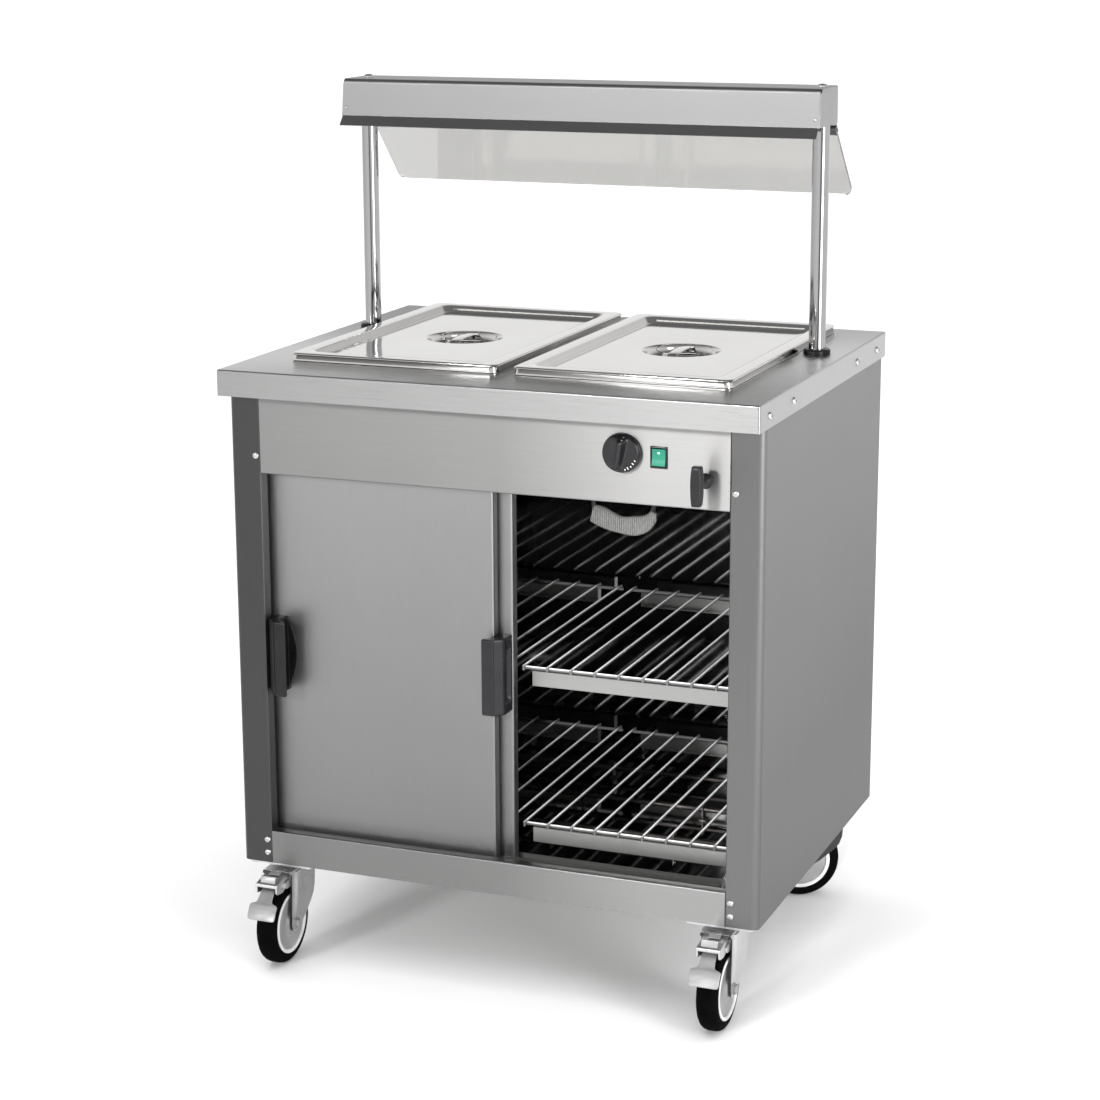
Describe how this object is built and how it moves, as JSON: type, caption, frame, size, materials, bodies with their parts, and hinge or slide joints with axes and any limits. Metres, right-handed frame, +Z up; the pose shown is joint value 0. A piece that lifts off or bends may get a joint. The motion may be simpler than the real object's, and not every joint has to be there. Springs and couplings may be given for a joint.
{
  "type": "food holding cabinet",
  "caption": "Mobile hot food holding cupboard with sliding doors, wire racks, a wet well with covered pans, and a heated gantry with a sneeze glass.",
  "frame": {"origin": "on the floor, in the middle of the cabinet's footprint", "axes": "+Z up, +Y from the door side towards the serving side at the back, +X to the right when facing the doors"},
  "size_m": [0.8194, 0.697, 1.3037],
  "materials": {
    "panel_steel": "satin brushed",
    "top_steel": "satin",
    "polished_steel": "polished",
    "bright_bar": "bright polished",
    "zinc_plate": "zinc plated",
    "castor_disc": "moulded",
    "tread_rubber": "matt",
    "dark_plastic": "moulded, fine grain",
    "switch_lens": "translucent lens",
    "valve_brass": "plain",
    "pipe_steel": "drawn tube",
    "element_sheath": "heat darkened",
    "braid": "woven sleeve",
    "mineral_wool": "fibre slab",
    "lamp_quartz": "clear",
    "pane": "toughened"
  },
  "bodies": {
    "cabinet": {"back_panel": "panel_steel", "base_element": "element_sheath", "base_pan": "panel_steel", "cable_gland": "dark_plastic", "castor_plates": "zinc_plate", "divider_bar": "top_steel", "door_track_bottom": "zinc_plate", "door_track_top": "zinc_plate", "drain_pipe": "pipe_steel", "drain_valve": "valve_brass", "fascia": "panel_steel", "fasteners": "zinc_plate", "gantry_hood": "top_steel", "gantry_posts": "bright_bar", "gantry_reflector": "polished_steel", "glass_rail": "top_steel", "glass_screen": "pane", "inner_liner": "polished_steel", "insulation": "mineral_wool", "plinth": "panel_steel", "post_collars": "bright_bar", "quartz_lamps": "lamp_quartz", "rack_lower_left": "bright_bar", "rack_lower_right": "bright_bar", "rack_upper_left": "bright_bar", "rack_upper_right": "bright_bar", "shelf_supports": "zinc_plate", "side_panel_left": "panel_steel", "side_panel_right": "panel_steel", "switch_body": "dark_plastic", "thermostat": "dark_plastic", "well_conduit": "braid", "well_element": "element_sheath", "well_tank": "polished_steel", "worktop": "top_steel"},
    "drain_lever": {"drain_lever": "dark_plastic"},
    "control_knob": {"control_knob": "dark_plastic"},
    "rocker": {"rocker": "switch_lens"},
    "door_left": {"door_left": "panel_steel", "door_handle_left": "dark_plastic"},
    "door_right": {"door_right": "panel_steel", "door_handle_right": "dark_plastic"},
    "pan_left": {"pan_left": "polished_steel"},
    "pan_right": {"pan_right": "polished_steel"},
    "lid_left": {"lid_left": "polished_steel"},
    "lid_right": {"lid_right": "polished_steel"},
    "castor_front_left": {"castor_fork_front_left": "zinc_plate"},
    "wheel_front_left": {"castor_wheel_front_left": "castor_disc", "castor_tyre_front_left": "tread_rubber"},
    "castor_front_right": {"castor_fork_front_right": "zinc_plate"},
    "wheel_front_right": {"castor_wheel_front_right": "castor_disc", "castor_tyre_front_right": "tread_rubber"},
    "castor_rear_left": {"castor_fork_rear_left": "zinc_plate"},
    "wheel_rear_left": {"castor_wheel_rear_left": "castor_disc", "castor_tyre_rear_left": "tread_rubber"},
    "castor_rear_right": {"castor_fork_rear_right": "zinc_plate"},
    "wheel_rear_right": {"castor_wheel_rear_right": "castor_disc", "castor_tyre_rear_right": "tread_rubber"},
    "pedal_front_left": {"brake_pedal_front_left": "zinc_plate"},
    "pedal_front_right": {"brake_pedal_front_right": "zinc_plate"}
  },
  "joints": [
    {"name": "door_right_slide", "type": "slide", "parent": "cabinet", "child": "door_right", "axis": [1, 0, 0], "range_m": [0, 0.339]},
    {"name": "door_left_slide", "type": "slide", "parent": "cabinet", "child": "door_left", "axis": [1, 0, 0], "range_m": [-0.004, 0]},
    {"name": "control_knob_turn", "type": "hinge", "parent": "cabinet", "child": "control_knob", "pos_m": [0.202, -0.28347, 0.828], "axis": [0, 1, 0], "range_deg": [0, 270]},
    {"name": "rocker_tilt", "type": "hinge", "parent": "cabinet", "child": "rocker", "pos_m": [0.2545, -0.28047, 0.8245], "axis": [1, 0, 0], "range_deg": [0, 8]},
    {"name": "drain_lever_turn", "type": "hinge", "parent": "cabinet", "child": "drain_lever", "pos_m": [0.3215, -0.28347, 0.797], "axis": [0, 1, 0], "range_deg": [0, 90]},
    {"name": "pan_left_lift", "type": "slide", "parent": "cabinet", "child": "pan_left", "axis": [0, 0, 1], "range_m": [0, 0.12]},
    {"name": "lid_left_lift", "type": "slide", "parent": "pan_left", "child": "lid_left", "axis": [0, 0, 1], "range_m": [0, 0.06]},
    {"name": "pan_right_lift", "type": "slide", "parent": "cabinet", "child": "pan_right", "axis": [0, 0, 1], "range_m": [0, 0.12]},
    {"name": "lid_right_lift", "type": "slide", "parent": "pan_right", "child": "lid_right", "axis": [0, 0, 1], "range_m": [0, 0.06]},
    {"name": "castor_front_left_swivel", "type": "hinge", "parent": "cabinet", "child": "castor_front_left", "pos_m": [-0.346, -0.23547, 0.15], "axis": [0, 0, 1], "continuous": true},
    {"name": "wheel_front_left_spin", "type": "hinge", "parent": "castor_front_left", "child": "wheel_front_left", "pos_m": [-0.346, -0.27747, 0.0625], "axis": [1, 0, 0], "continuous": true},
    {"name": "castor_front_right_swivel", "type": "hinge", "parent": "cabinet", "child": "castor_front_right", "pos_m": [0.346, -0.23547, 0.15], "axis": [0, 0, 1], "continuous": true},
    {"name": "wheel_front_right_spin", "type": "hinge", "parent": "castor_front_right", "child": "wheel_front_right", "pos_m": [0.346, -0.27747, 0.0625], "axis": [1, 0, 0], "continuous": true},
    {"name": "castor_rear_left_swivel", "type": "hinge", "parent": "cabinet", "child": "castor_rear_left", "pos_m": [-0.346, 0.28453, 0.15], "axis": [0, 0, 1], "continuous": true},
    {"name": "wheel_rear_left_spin", "type": "hinge", "parent": "castor_rear_left", "child": "wheel_rear_left", "pos_m": [-0.32892, 0.24616, 0.0625], "axis": [0.9135, 0.4067, 0], "continuous": true},
    {"name": "castor_rear_right_swivel", "type": "hinge", "parent": "cabinet", "child": "castor_rear_right", "pos_m": [0.346, 0.28453, 0.15], "axis": [0, 0, 1], "continuous": true},
    {"name": "wheel_rear_right_spin", "type": "hinge", "parent": "castor_rear_right", "child": "wheel_rear_right", "pos_m": [0.30743, 0.26792, 0.0625], "axis": [0.3955, -0.9184, 0], "continuous": true},
    {"name": "pedal_front_left_press", "type": "hinge", "parent": "castor_front_left", "child": "pedal_front_left", "pos_m": [-0.346, -0.29747, 0.13], "axis": [1, 0, 0], "range_deg": [0, 8]},
    {"name": "pedal_front_right_press", "type": "hinge", "parent": "castor_front_right", "child": "pedal_front_right", "pos_m": [0.346, -0.29747, 0.13], "axis": [1, 0, 0], "range_deg": [0, 8]}
  ]
}
